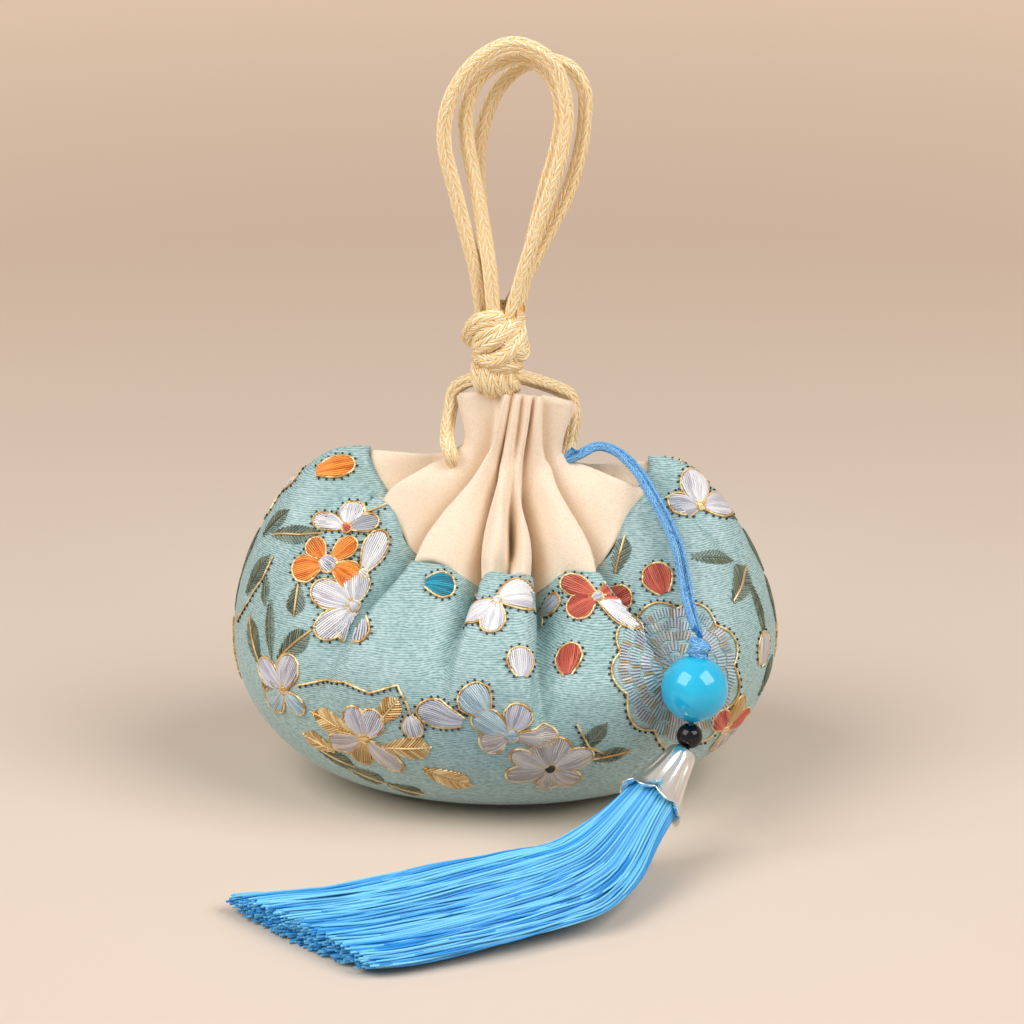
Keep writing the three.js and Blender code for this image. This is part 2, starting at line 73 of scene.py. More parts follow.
def finish_material(name, fixed, linked):
    """A material: values set on its shader's own sockets, and links to others from a function."""
    material = bpy.data.materials.new(name)
    material.use_nodes = True
    shader = material.node_tree.nodes["Principled BSDF"]
    for socket, value in fixed.items():
        shader.inputs[socket].default_value = value
    for socket, source in linked(material).items():
        material.node_tree.links.new(source, shader.inputs[socket])
    return material


def add_piece(name, mesh, body, material):
    """A finished mesh as an object at the origin, which rides on one body of the frame."""
    piece = bpy.data.objects.new(name, mesh)
    bpy.context.scene.collection.objects.link(piece)
    mesh.materials.clear()
    mesh.materials.append(material)
    mesh.shade_smooth()
    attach(piece, body)
    return piece


def add_rounding(piece):
    """Rounds a piece's form by two steps of subdivision."""
    rounding = piece.modifiers.new("rounding", "SUBSURF")
    rounding.levels = 2
    rounding.render_levels = 2


def rounded_form(node_name, edge_crease, tuck=0, lip=0):
    """A mesh of a CAD node in four-sided faces, sharp along its tucks and creased along its edges.
    Its tucks are drawn in further, and the lips beside them are laid over them, but less so in the neck,
    where the casing holds the cloth, and at the back."""
    tuck_bend = -0.3
    lip_bend = 0.5
    edge_bend = 0.9
    around_limit = 0.6
    neck_base = 58 * MM
    held_share = 0.6
    move_reach = 2.6 * MM
    form = bmesh.new()
    form.from_mesh(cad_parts[node_name].data)
    bmesh.ops.remove_doubles(form, verts=form.verts, dist=0.001 * MM)
    bmesh.ops.join_triangles(
        form,
        faces=form.faces,
        angle_face_threshold=math.radians(60),
        angle_shape_threshold=math.radians(70),
    )
    creases = form.edges.layers.float.new("crease_edge")
    moves = []
    for edge in form.edges:
        bend = edge.calc_face_angle_signed(0)
        if bend < tuck_bend:
            edge[creases] = 1.0
        if bend > edge_bend:
            edge[creases] = edge_crease
        first, second = edge.verts
        middle = (first.co + second.co) / 2
        out = (middle - pouch_heart).normalized()
        around = Vector((0, 0, 1)).cross(out).normalized()
        normals = [face.normal for face in edge.link_faces]
        sideways = min(normals, key=lambda normal: normal.dot(out))
        runs_around = abs((second.co - first.co).normalized().dot(around)) > around_limit
        if runs_around or (normals[0] + normals[1]).dot(out) < 0:
            continue
        share = min(1, abs(bend))
        if middle.z >= neck_base:
            share *= held_share
        if middle.y >= 0:
            share *= held_share
        if bend < tuck_bend:
            moves.append((middle, -out * tuck * share))
        if bend > lip_bend:
            moves.append((middle, sideways * lip * share))
    places = KDTree(max(1, len(moves)))
    for i, (middle, _) in enumerate(moves):
        places.insert(middle, i)
    places.balance()
    for vertex in form.verts:
        near = [moves[i][1] for _, i, _ in places.find_range(vertex.co, move_reach)]
        if near:
            vertex.co += sum(near, Vector()) / len(near)
    mesh = bpy.data.meshes.new(node_name)
    form.to_mesh(mesh)
    form.free()
    return mesh


def ramp(value, start, end):
    """Rises from 0 to 1 as a value goes from start to end."""
    return min(1, max(0, (value - start) / (end - start)))


def brocade_ground(material):
    """Wavy broken lines of weft, dark between them, with a slow drift of tone and a fine relief."""
    place = add_node(material, "TexCoord", {}).outputs["Object"]
    # A wave texture's bands lie 0.314 / scale apart
    wave_scale = 0.314 / weft_pitch
    lines = add_node(
        material,
        "TexWave",
        {"Vector": place, "Scale": wave_scale, "Distortion": 9, "Detail": 2, "Detail Scale": 0.2},
        bands_direction="Z",
    )
    stroke = [1 / stroke_length, 1 / stroke_length, 1 / stroke_height]
    along = add_node(material, "Mapping", {"Vector": place, "Scale": stroke})
    broken = add_node(material, "TexNoise", {"Vector": along.outputs["Vector"], "Scale": 1, "Detail": 1})
    weft = add_node(
        material,
        "MixRGB",
        {"Fac": 0.7, "Color1": lines.outputs["Color"], "Color2": broken.outputs["Fac"]},
    )
    patch = add_node(material, "TexNoise", {"Vector": place, "Scale": 1 / tone_patch, "Detail": 1})
    teal = add_node(material, "ValToRGB", {"Fac": weft.outputs["Color"]})
    teal.color_ramp.elements[0].position = 0.26
    teal.color_ramp.elements[0].color = linear("#6C979B")
    teal.color_ramp.elements[1].position = 0.68
    teal.color_ramp.elements[1].color = linear("#C4DEDE")
    tone = add_node(
        material,
        "MixRGB",
        {"Fac": patch.outputs["Fac"], "Color1": linear("#E4ECEA"), "Color2": linear("#FFFFFF")},
    )
    colour = add_node(
        material,
        "MixRGB",
        {"Fac": 1, "Color1": teal.outputs["Color"], "Color2": tone.outputs["Color"]},
        blend_type="MULTIPLY",
    )
    relief = {"Height": weft.outputs["Color"], "Strength": 0.4, "Distance": 0.12 * MM}
    bump = add_node(material, "Bump", relief)
    return {"Base Color": colour.outputs["Color"], "Normal": bump.outputs["Normal"]}


# Silk brocade: wavy lines of glossy weft in two teals, drawn 0.36 mm apart to show, with a soft sheen
silk_shine = {"Roughness": 0.45, "Sheen Weight": 0.15, "Sheen Roughness": 0.4}
brocade = finish_material("silk brocade ground", silk_shine, brocade_ground)
pouch_form = rounded_form("brocade_pouch", edge_crease=1.0, tuck=2.2 * MM, lip=0.8 * MM)

# A fold is its azimuth from the front and how far it is drawn in, in degrees and millimetres. It fades out
# above and below, and the cloth round the main one is turned towards the front, so that it hangs straight.
main_fold = 21
belly_folds = ((-50.7, 3), (-19.4, 2.2), (main_fold, 6.2), (47.2, 2.4))
fold_half_angle = 1.3
fold_top = 44
hang_angle = 10
hang_spread = 13
for vertex in pouch_form.vertices:
    azimuth = math.degrees(math.atan2(vertex.co.x, -vertex.co.y))
    width = math.hypot(vertex.co.x, vertex.co.y)
    height = vertex.co.z / MM
    if height < fold_top:
        for fold, depth in belly_folds:
            if abs(azimuth - fold) < fold_half_angle:
                width -= depth * MM * ramp(height, 20, 32) * ramp(height, fold_top, 38)
        hang = ramp(height, 41, 32) * ramp(height, 6, 20)
        azimuth -= hang_angle * hang * math.exp(-(((azimuth - main_fold) / hang_spread) ** 2))
    vertex.co.x = width * math.sin(math.radians(azimuth))
    vertex.co.y = -width * math.cos(math.radians(azimuth))

# The filling's top is drawn in by 8 mm wherever the collar covers it, so that the tucks have room
ray_clearance = 0.05
filling_inset = 8
neck_height = 50
neck_radius = 19
collar_shell = BVHTree.FromObject(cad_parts["cotton_collar"], bpy.context.evaluated_depsgraph_get())
for vertex in pouch_form.vertices:
    outward = (vertex.co - pouch_heart).normalized()
    start = vertex.co + outward * ray_clearance * MM
    from_axis = math.hypot(vertex.co.x, vertex.co.y)
    in_neck = vertex.co.z > neck_height * MM and from_axis < neck_radius * MM
    if in_neck or collar_shell.ray_cast(start, outward, filling_inset * MM)[0]:
        vertex.co -= outward * filling_inset * MM
pouch = add_piece("pouch_cloth", pouch_form, "sachet", brocade)
add_rounding(pouch)
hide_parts("brocade_pouch")

# Cotton collar: one band of plain cotton, sewn to the pouch's mouth and folded into pleats at the neck,
# where the drawstring's casing pinches it, and standing up above it as a frill.
cotton_pitch = 0.22 * MM
cotton_slub = 0.55 * MM


def cotton_weave(material):
    """Fine uneven threads of warp and weft, added where they cross, with a fine relief."""
    place = add_node(material, "TexCoord", {}).outputs["Object"]
    fine = 1 / cotton_pitch
    long = 1 / cotton_slub
    warp_place = add_node(material, "Mapping", {"Vector": place, "Scale": [fine, fine, long]})
    weft_place = add_node(material, "Mapping", {"Vector": place, "Scale": [long, long, fine]})
    warp = add_node(material, "TexNoise", {"Vector": warp_place.outputs["Vector"], "Scale": 1, "Detail": 1})
    weft = add_node(material, "TexNoise", {"Vector": weft_place.outputs["Vector"], "Scale": 1, "Detail": 1})
    cross = add_node(material, "Math", {0: warp.outputs["Fac"], 1: weft.outputs["Fac"]}, operation="ADD")
    colour = add_node(material, "ValToRGB", {"Fac": cross.outputs["Value"]})
    colour.color_ramp.elements[0].position = 0.75
    colour.color_ramp.elements[0].color = linear("#F0D8BC")
    colour.color_ramp.elements[1].position = 1.0
    colour.color_ramp.elements[1].color = linear("#F6E3CC")
    relief = {"Height": cross.outputs["Value"], "Strength": 0.35, "Distance": 0.1 * MM}
    bump = add_node(material, "Bump", relief)
    return {"Base Color": colour.outputs["Color"], "Normal": bump.outputs["Normal"]}


# Plain cotton: matt crossing threads, drawn 0.22 mm apart to show, with a little fuzz at grazing angles
cotton = finish_material("plain cotton", {"Roughness": 0.85, "Sheen Weight": 0.15}, cotton_weave)
collar_form = rounded_form("cotton_collar", edge_crease=0.7, tuck=5 * MM, lip=1.7 * MM)

# Where the collar's sewn edge would lie over the brocade, it is put back under it
edge_overlap = 2.5
seam_depth = 1.5
pouch_skin = BVHTree.FromObject(pouch, bpy.context.evaluated_depsgraph_get())
for vertex in collar_form.vertices:
    inward = (pouch_heart - vertex.co).normalized()
    under, normal, _, _ = pouch_skin.ray_cast(vertex.co, inward, edge_overlap * MM)
    if under and normal.dot(inward) < 0:
        vertex.co = under + inward * seam_depth * MM
collar = add_piece("collar_cloth", collar_form, "sachet", cotton)
add_rounding(collar)
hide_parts("cotton_collar")

# Flowers of the brocade: petals and leaves woven in with loose floats of coloured silk. A gilt thread
# edges each petal, and dark dots stand outside it on some. The cloth repeats them on the pouch's back.
collar_skin = BVHTree.FromObject(collar, bpy.context.evaluated_depsgraph_get())
floats = {}
float_pitch = 0.36 * MM
float_lift = 0.08 * MM


def seat(azimuth, height):
    """A place on the pouch, by its azimuth from the front and its height, with its right, up and out."""
    far_out = 100 * MM
    turn = math.radians(azimuth)
    outward = Vector((math.sin(turn), -math.cos(turn), 0))
    place = None
    while place is None:
        start = outward * far_out + Vector((0, 0, height * MM))
        place, out, _, _ = pouch_skin.ray_cast(start, -outward, far_out)
        height -= 1
    up = out.cross(Vector((math.cos(turn), math.sin(turn), 0))).normalized()
    return place, up.cross(out), up, out


def under_collar(place, normal):
    """Whether the collar lies over a place on the brocade."""
    collar_reach = 5 * MM
    start = place + normal * ray_clearance * MM
    return collar_skin.ray_cast(start, normal, collar_reach)[0] is not None


def lay_float(colour, spot, points, lift):
    """One float: points in the plane at a spot, dropped on the cloth and cut at a fold or the collar."""
    drop_height = 9
    drop_reach = 22
    place, right, up, out = spot
    runs = [[]]
    for i, (across, along) in enumerate(points):
        above = place + right * across + up * along + out * drop_height * MM
        on_cloth, normal, _, _ = pouch_skin.ray_cast(above, -out, drop_reach * MM)
        if on_cloth is None or under_collar(on_cloth, normal):
            runs.append([])
            continue
        longest_step = 2.5 * math.dist(points[i], points[i - 1]) + 0.4 * MM
        if runs[-1] and (on_cloth - runs[-1][-1]).length > longest_step:
            runs.append([])
        rise = lift * math.sin(math.pi * (i + 0.5) / len(points))
        runs[-1].append(on_cloth + normal * (float_lift + rise))
    floats.setdefault(colour, []).extend(run for run in runs if len(run) > 1)


def placed(points, centre, angle):
    """Flat points turned by an angle and moved to a centre."""
    c = math.cos(math.radians(angle))
    s = math.sin(math.radians(angle))
    return [(centre[0] + x * c - y * s, centre[1] + x * s + y * c) for x, y in points]


def stitch_edge(spot, points, dotted):
    """A gilt thread along a line, caught down every 0.9 mm, and a row of dark dots on its right if dotted."""
    step = 0.3 * MM
    stitch_steps = 3
    dot_steps = 4
    dot_offset = 0.45
    dot_half = 0.16
    run = [points[0]]
    for a, b in zip(points, points[1:]):
        count = max(1, round(math.dist(a, b) / step))
        for i in range(1, count + 1):
            run.append((a[0] + (b[0] - a[0]) * i / count, a[1] + (b[1] - a[1]) * i / count))
    for i in range(0, len(run) - stitch_steps, stitch_steps):
        lay_float("gold", spot, run[i : i + stitch_steps + 1], 0.14 * MM)
    if not dotted:
        return
    for i in range(2, len(run) - 2, dot_steps):
        x, y = run[i]
        dx = run[i + 1][0] - run[i - 1][0]
        dy = run[i + 1][1] - run[i - 1][1]
        reach = math.hypot(dx, dy)
        if reach > 0:
            x += dy / reach * dot_offset * MM
            y -= dx / reach * dot_offset * MM
            dot = [(x + dx / reach * k * MM, y + dy / reach * k * MM) for k in (-dot_half, dot_half)]
            lay_float("dark", spot, dot, 0.1 * MM)


def petal_tip(side):
    """The share of a petal's length at which its rounded tip ends, where side is -1 to 1 across it."""
    return 0.6 + 0.4 * math.sqrt(max(0.0, 1 - side * side))


def petal_side(side, length, width):
    """A line along a petal from its base to its tip, which spreads until it is at its widest."""
    base_spread = 0.3
    widest = 0.62
    line = []
    for i in range(8):
        share = petal_tip(side) * i / 7
        spread = base_spread + (1 - base_spread) * math.sin(math.pi / 2 * min(1, share / widest))
        line.append((length * (share - 0.5), side * width / 2 * spread))
    return line


def lay_petal(colour, spot, centre, angle, length, width, dotted):
    """A petal: floats from its base to its tip, inside a gilt edge."""
    length *= MM
    width *= MM
    count = max(4, round(width / float_pitch))
    for i in range(count):
        side = -1 + 2 * (i + 0.5) / count
        lay_float(colour, spot, placed(petal_side(side, length, width), centre, angle), 0.3 * MM)
    edge_length = length * 1.08
    edge_side = 1.12
    edge = petal_side(-edge_side, edge_length, width)
    for i in range(1, 8):
        side = -1 + i / 4
        edge.append((edge_length * (petal_tip(side) - 0.5), side * width / 2 * edge_side))
    edge += petal_side(edge_side, edge_length, width)[::-1]
    stitch_edge(spot, placed(edge, centre, angle), dotted)


def lay_flower(azimuth, height, core_colour, core, dotted, petals):
    """Petals round a core: each by its colour, direction, length and width."""
    spot = seat(azimuth, height)
    for colour, angle, length, width in petals:
        out = (core + length) / 2 * MM
        centre = (out * math.cos(math.radians(angle)), out * math.sin(math.radians(angle)))
        lay_petal(colour, spot, centre, angle, length, width, dotted)
    lay_petal(core_colour, spot, (0, 0), 0, core, core, False)


def lay_leaf(colour, midrib_colour, azimuth, height, angle, length, width):
    """A leaf: short slanting stitches with the ground between them, on each side of a midrib."""
    barb_pitch = 0.62 * MM
    midrib_gap = 0.25 * MM
    spot = seat(azimuth, height)
    length *= MM
    width *= MM
    midrib = [(length * (i / 8 - 0.5), 0) for i in range(9)]
    lay_float(midrib_colour, spot, placed(midrib, (0, 0), angle), 0.15 * MM)
    count = round(length / barb_pitch)
    for i in range(count):
        share = (i + 0.5) / count
        reach = width / 2 * math.sin(math.pi * share**0.8)
        root = length * (share - 0.56)
        for side in (-1, 1):
            barb = [(root + reach * k, (midrib_gap + reach * k) * side) for k in (0, 0.35, 0.7, 1)]
            lay_float(colour, spot, placed(barb, (0, 0), angle), 0.1 * MM)


def lay_peony(azimuth, height, radius, lobes):
    """A peony: rings of short stitches in blocks of colour, like scales, inside a lobed gilt edge."""
    block_colours = ("mist", "grey", "rose", "mist", "lilac")
    block_seam = 0.1
    stitch_pitch = 0.5 * MM
    edge_points = 12 * lobes
    spot = seat(azimuth, height)
    edge = []
    for i in range(edge_points + 1):
        angle = 2 * math.pi * i / edge_points
        reach = radius * MM * (0.9 + 0.14 * abs(math.sin(angle * lobes / 2)))
        edge.append((-reach * math.cos(angle), reach * math.sin(angle)))
    stitch_edge(spot, edge[::-1], True)
    for ring in range(1, 6):
        inner = radius * MM * (0.17 * ring - 0.1)
        blocks = 3 * ring + 2
        stitches = round(2 * math.pi * inner / stitch_pitch) + 6
        for i in range(stitches):
            angle = 2 * math.pi * i / stitches + 0.4 * ring
            block = angle * blocks / (2 * math.pi)
            bulge = radius * MM * 0.05 * math.sin(math.pi * (block % 1))
            start = inner + bulge
            end = start + radius * MM * 0.14
            stitch = [(math.cos(angle) * r, math.sin(angle) * r) for r in (start, (start + end) / 2, end)]
            colour = "straw"
            if block % 1 > block_seam:
                colour = block_colours[int(block) % len(block_colours)]
            lay_float(colour, spot, stitch, 0.12 * MM)


def lay_stem(places):
    """A gilt stem through places given by azimuth and height."""
    spot = seat(*places[len(places) // 2])
    place, right, up, _ = spot
    flat = []
    for azimuth, height in places:
        offset = seat(azimuth, height)[0] - place
        flat.append((offset.dot(right), offset.dot(up)))
    stitch_edge(spot, flat, True)


# A flower is an azimuth, a height, its core's colour and size, whether it is dotted, and its petals
flowers = [
    (-65, 53.5, "coral", 1.6, True, [("white", 120, 5, 4.6), ("white", 200, 6, 3.4), ("grey", 60, 5, 3)]),
    (-63, 47.7, "lilac", 3, True, [
        ("orange", 165, 4, 3.4), ("orange", 80, 5, 3.2), ("orange", 10, 5, 4.6), ("orange", -130, 5, 4.6),
    ]),
    (-54.5, 40.6, "lilac", 2, True, [
        ("white", 130, 5.4, 4.6), ("white", -160, 6.6, 5), ("white", -95, 7.4, 4.4), ("lilac", -62, 5.6, 4),
    ]),
    (-57, 46, "white", 1.6, True, [("white", 105, 7.6, 4)]),
    (-3, 43.7, "white", 1.4, True, [("white", 22, 6, 6), ("white", -100, 5.8, 4.2), ("white", -148, 6, 3.8)]),
    (38, 43.1, "lilac", 1.8, True, [
        ("coral", 120, 6.4, 3.4), ("coral", 180, 4.8, 4.6), ("coral", -5, 5.6, 4.8), ("white", -62, 8.6, 4.4),
    ]),
    (82, 55, "gold", 1.4, True, [("lilac", 120, 6, 4.8), ("white", 40, 6.4, 5), ("white", -50, 6.4, 4.6)]),
    (-61, 25.3, "gold", 1.6, False, [
        ("lilac", 148, 6.6, 4.8), ("lilac", 75, 6, 4.6), ("mist", -42, 4.6, 3.6), ("mist", -137, 6, 4.6),
        ("olive", -175, 5, 3.6),
    ]),
    (-40, 19, "gold", 2, False, [
        ("lilac", 102, 5.6, 4.2), ("lilac", 58, 5.8, 4.4), ("rose", -163, 7, 4.4), ("straw", -113, 5.6, 4),
        ("rose", -55, 8, 4),
    ]),
    (2, 22, "mist", 2.4, False, [
        ("rose", -156, 4.6, 4.6), ("lilac", 74, 5, 4.6), ("rose", -7, 7, 3.6), ("mist", 148, 6.6, 4.6),
    ]),
    (14, 14.4, "dark", 1.8, False, [
        ("rose", 155, 7, 4), ("rose", 115, 5.6, 4), ("rose", 74, 6, 4.2), ("rose", 30, 7.2, 4.6),
        ("rose", -39, 6, 4.4), ("rose", -90, 5, 4), ("rose", -160, 7, 4.2),
    ]),
    (66, 16, "gold", 2, False, [
        ("coral", 20, 6, 4), ("coral", 140, 5.6, 4), ("straw", 80, 6, 3.6), ("rose", -60, 6, 4.4),
    ]),
]
# A single petal is its colour, azimuth, height, direction, length and width
single_petals = [
    ("orange", -84, 66, 90, 7, 3.6),
    ("teal", -30, 45, 19, 5.2, 4.4),
    ("grey", 16, 40.5, 75, 4.8, 3.2),
    ("white", 5, 35, 92, 5.2, 4.4),
    ("coral", 21, 34.2, 65, 6.2, 4.6),
    ("coral", 59, 44.8, 70, 5.6, 5),
    ("mist", -8, 28.7, 131, 5.6, 5.8),
    ("grey", -18, 25.4, 168, 8, 4.6),
    ("white", -26, 22.8, -80, 4.4, 3.4),
    ("rose", 75, 29.8, 60, 6, 4.4),
]
# A leaf is its colour, its midrib's colour, azimuth, height, direction, length and width
leaves = [
    ("olive", "gold", -72, 32.4, 130, 9.5, 3.8), ("olive", "gold", -60, 34.1, 60, 8.5, 4),
    ("olive", "olive", -67, 35.3, -65, 10.5, 1.8), ("olive", "olive", -79, 43.2, 80, 9, 3.6),
    ("olive", "olive", -73, 41.1, -50, 5.4, 1.8), ("olive", "olive", -83, 52, 75, 7.4, 3),
    ("olive", "gold", -76, 50.8, 45, 10.5, 3.4), ("olive", "gold", -64, 41.3, -65, 6, 3.2),
    ("gold", "gold", -48, 20.8, 159, 10.5, 4.6), ("gold", "gold", -32, 25.6, 52, 6.4, 3.6),
    ("gold", "gold", -28, 18.1, 3, 9, 4.8), ("gold", "gold", -18, 11.5, -30, 9.4, 4.8),
    ("olive", "gold", -52, 12.5, -35, 7.3, 4.2), ("olive", "gold", -46, 9.3, -40, 7.5, 4.4),
    ("olive", "gold", -36, 6.8, -35, 6.8, 4), ("gold", "gold", -55, 15.7, 150, 7, 3.8),
    ("olive", "olive", 25, 21, 54, 7.4, 3), ("olive", "gold", 31, 16.4, 12, 7.8, 3),
    ("olive", "gold", 58, 50.4, 15, 7, 3.4), ("olive", "olive", 72, 47.6, -35, 9.5, 2.2),
    ("olive", "gold", 75, 42.4, 20, 9.5, 5), ("olive", "olive", 77, 36.4, -100, 10.5, 2.4),
    ("olive", "olive", 79, 23.4, 60, 8, 4), ("olive", "olive", 86, 54, -60, 10, 3),
    ("olive", "olive", 90, 45, 90, 9, 3.4), ("olive", "olive", -92, 36, 85, 9, 3.4),
    ("gold", "gold", -88, 24, 100, 8, 4), ("gold", "gold", 90, 28, 75, 8, 4),
]
# A stem runs through places given by azimuth and height
stems = [
    [(-57, 27.1), (-50, 29), (-44, 29.8), (-37, 28.5), (-30, 30.4), (-27, 27), (-26, 24.5)],
    [(-65, 56), (-69, 59), (-71, 61)],
    [(20, 24), (24, 19), (29, 17)],
    [(-82, 33), (-78, 38), (-76, 43), (-77, 47)],
]
# The peony is its azimuth, height, radius and number of lobes
peony = (50, 30.8, 12.5, 9)
for repeat in (0, 180):
    for azimuth, height, core_colour, core, dotted, petals in flowers:
        lay_flower(azimuth + repeat, height, core_colour, core, dotted, petals)
    for colour, azimuth, height, angle, length, width in single_petals:
        lay_petal(colour, seat(azimuth + repeat, height), (0, 0), angle, length, width, True)
    for colour, midrib_colour, azimuth, height, angle, length, width in leaves:
        lay_leaf(colour, midrib_colour, azimuth + repeat, height, angle, length, width)
    for places in stems:
        lay_stem([(azimuth + repeat, height) for azimuth, height in places])
    lay_peony(peony[0] + repeat, *peony[1:])


def thread_mesh(name, threads, radius, resolution=0):
    """A mesh of round threads, each along its own list of points, with four sides or more."""
    curve = bpy.data.curves.new(name, "CURVE")
    curve.dimensions = "3D"
    curve.bevel_depth = radius
    curve.bevel_resolution = resolution
    curve.use_fill_caps = True
    for points in threads:
        spline = curve.splines.new("POLY")
        spline.points.add(len(points) - 1)
        for point, place in zip(spline.points, points):
            point.co = (*place, 1)
    holder = bpy.data.objects.new(name, curve)
    mesh = bpy.data.meshes.new_from_object(holder)
    bpy.data.objects.remove(holder)
    bpy.data.curves.remove(curve)
    return mesh


def shade_threads(mesh, shades):
    """Gives each point of each four-sided thread its shade, from 0 to 1, and the two caps their ends'."""
    layer = mesh.attributes.new("thread_shade", "FLOAT", "POINT")
    values = []
    for thread_shades in shades:
        for shade in thread_shades:
            values += [shade] * 4
        values += [thread_shades[0]] * 4 + [thread_shades[-1]] * 4
    layer.data.foreach_set("value", values)


def shaded_finish(light, dark):
    """Colour between two shades by the shade given to each point of a thread."""

    def linked(material):
        shade = add_node(material, "Attribute", {}, attribute_name="thread_shade")
        colour = add_node(material, "ValToRGB", {"Fac": shade.outputs["Fac"]})
        colour.color_ramp.elements[0].color = linear(dark)
        colour.color_ramp.elements[1].color = linear(light)
        return {"Base Color": colour.outputs["Color"]}

    return linked


# Floss silk: loose untwisted floats, soft and glossy, each of its own shade between a light and a dark one.
# The gold is gilt thread, part metal. The third value is the thread's radius in millimetres.
float_colours = {
    "white": ("#FFFFFF", "#CBC9D3", 0.2),
    "lilac": ("#E8E6EC", "#AFADBC", 0.2),
    "grey": ("#D2D2DA", "#9AA0AC", 0.2),
    "rose": ("#E4DAD4", "#B0A49E", 0.2),
    "mist": ("#CDDFE4", "#93AEBA", 0.2),
    "straw": ("#D9B878", "#B58E4E", 0.18),
    "orange": ("#FFAA48", "#DE6E10", 0.2),
    "coral": ("#E67860", "#A83A28", 0.2),
    "teal": ("#2AB0CE", "#0A6480", 0.2),
    "olive": ("#8A9276", "#4C5542", 0.14),
    "dark": ("#2A2A22", "#151611", 0.24),
    "gold": ("#FFE9B4", "#BE8838", 0.25),
}
float_shades = random.Random(5)
for colour, threads in floats.items():
    light, dark, radius = float_colours[colour]
    shine = {"Roughness": 0.42, "Sheen Weight": 0.15}
    if colour == "gold":
        shine = {"Roughness": 0.3, "Metallic": 0.35}
    silk = finish_material(colour + " floss silk", shine, shaded_finish(light, dark))
    float_mesh = thread_mesh(colour, threads, radius * MM)
    shade_threads(float_mesh, [[float_shades.random()] * len(points) for points in threads])
    flower = add_piece(colour + "_floats", float_mesh, "sachet", silk)

# Drawstring and hanging loop: golden satin cord, braided round a core. A leg leaves each side of the
# neck, both run into a knot, and three turns of the cord stand above it as a loop.
satin_diameter = 2.8 * MM
routes = {
    "drawstring_left": [
        (-9.8, -5.2, 64.6), (-10.6, -3.4, 66.6), (-10.5, 0.4, 69), (-10, 2.6, 71.6), (-9.6, 3.3, 74.4),
        (-7.7, 2.1, 76.6), (-5.5, 0.4, 77.8),
    ],
    "drawstring_right": [
        (12, 3.2, 63.8), (12.5, 4.3, 66.5), (12.9, 5, 70), (12.2, 5.1, 73.2), (9.8, 3.8, 75),
        (6.5, 1.8, 76.8), (3.4, 0.3, 78.2),
    ],
    "hanger_turn_front": [
        (-4.1, 0.1, 90.5), (-5.3, -0.7, 98.7), (-8.6, -1, 112), (-10.9, -1.2, 123.3), (-9.4, -1.3, 130.8),
        (-4.6, -1.5, 137.4), (1.8, -1.7, 140.2), (8.4, -2, 137), (11.1, -2.3, 128.3), (10.4, -2.5, 121.4),
        (8.4, -2.7, 114.3), (4.6, -2.9, 103), (0.9, -2.9, 90.1),
    ],
    "hanger_turn_middle": [
        (-1.9, -2.8, 90), (-2.7, -2, 99), (-3.9, -0.5, 107), (-5.4, 0.8, 115), (-6.8, 1.6, 122.5),
        (-6.8, 1.8, 128), (-4.4, 1.8, 133.4), (0.4, 1.8, 136.6), (4.4, 1.7, 136.8), (8.4, 1.5, 133.4),
        (10.1, 1.2, 127.6), (9.3, 1, 121), (7.4, 0.7, 114), (4.8, 0.3, 103), (2.4, 0, 90.5),
    ],
    "hanger_turn_rear": [
        (-2.8, 3, 90), (-3.4, 3.6, 100), (-4.4, 4.4, 109), (-4.8, 4.9, 116), (-4.4, 5, 121.5),
        (-3.3, 5, 126), (-1, 5, 131), (3, 5, 134.8), (8, 5, 136), (12, 4.9, 134.6), (14.3, 4.8, 131),
        (14.6, 4.7, 126.5), (13.6, 4.4, 119), (11.5, 4.1, 112), (6.6, 3.5, 102), (0.7, 3, 90.4),
    ],
}


def smooth_line(points, spacing):
    """An even run of points along the smooth line that a cord takes through given ones."""
    knots = [Vector(p) * MM for p in points]
    knots = [2 * knots[0] - knots[1], *knots, 2 * knots[-1] - knots[-2]]
    steps = 24
    dense = []
    for a, b, c, d in zip(knots, knots[1:], knots[2:], knots[3:]):
        t1 = math.sqrt((b - a).length)
        t2 = t1 + math.sqrt((c - b).length)
        t3 = t2 + math.sqrt((d - c).length)
        for i in range(steps):
            t = t1 + (t2 - t1) * i / steps
            ab = a.lerp(b, t / t1)
            bc = b.lerp(c, (t - t1) / (t2 - t1))
            cd = c.lerp(d, (t - t2) / (t3 - t2))
            early = ab.lerp(bc, t / t2)
            late = bc.lerp(cd, (t - t1) / (t3 - t1))
            dense.append(early.lerp(late, (t - t1) / (t2 - t1)))
    dense.append(knots[-2])
    runs = [0.0]
    for a, b in zip(dense, dense[1:]):
        runs.append(runs[-1] + (b - a).length)
    count = max(2, round(runs[-1] / spacing))
    line = []
    place = 0
    for i in range(count + 1):
        run = runs[-1] * i / count
        while place < len(dense) - 2 and runs[place + 1] < run:
            place += 1
        share = (run - runs[place]) / (runs[place + 1] - runs[place])
        line.append(dense[place].lerp(dense[place + 1], share))
    return line


def into_cloth(place, depth):
    """A place under the collar's cloth, next to one on it, where a cord goes in."""
    on_cloth, normal, _, _ = collar_skin.find_nearest(Vector(place) * MM)
    return on_cloth / MM - normal * depth


def line_length(line):
    """The length of a line along its points."""
    return sum((b - a).length for a, b in zip(line, line[1:]))


def line_frames(line):
    """Each point of a line with two directions across it, which don't twist along the line."""
    frames = []
    side = None
    for i, point in enumerate(line):
        along = (line[min(i + 1, len(line) - 1)] - line[max(i - 1, 0)]).normalized()
        if side is None:
            side = along.orthogonal().normalized()
        side = (side - along * side.dot(along)).normalized()
        frames.append((point, side, along.cross(side)))
    return frames


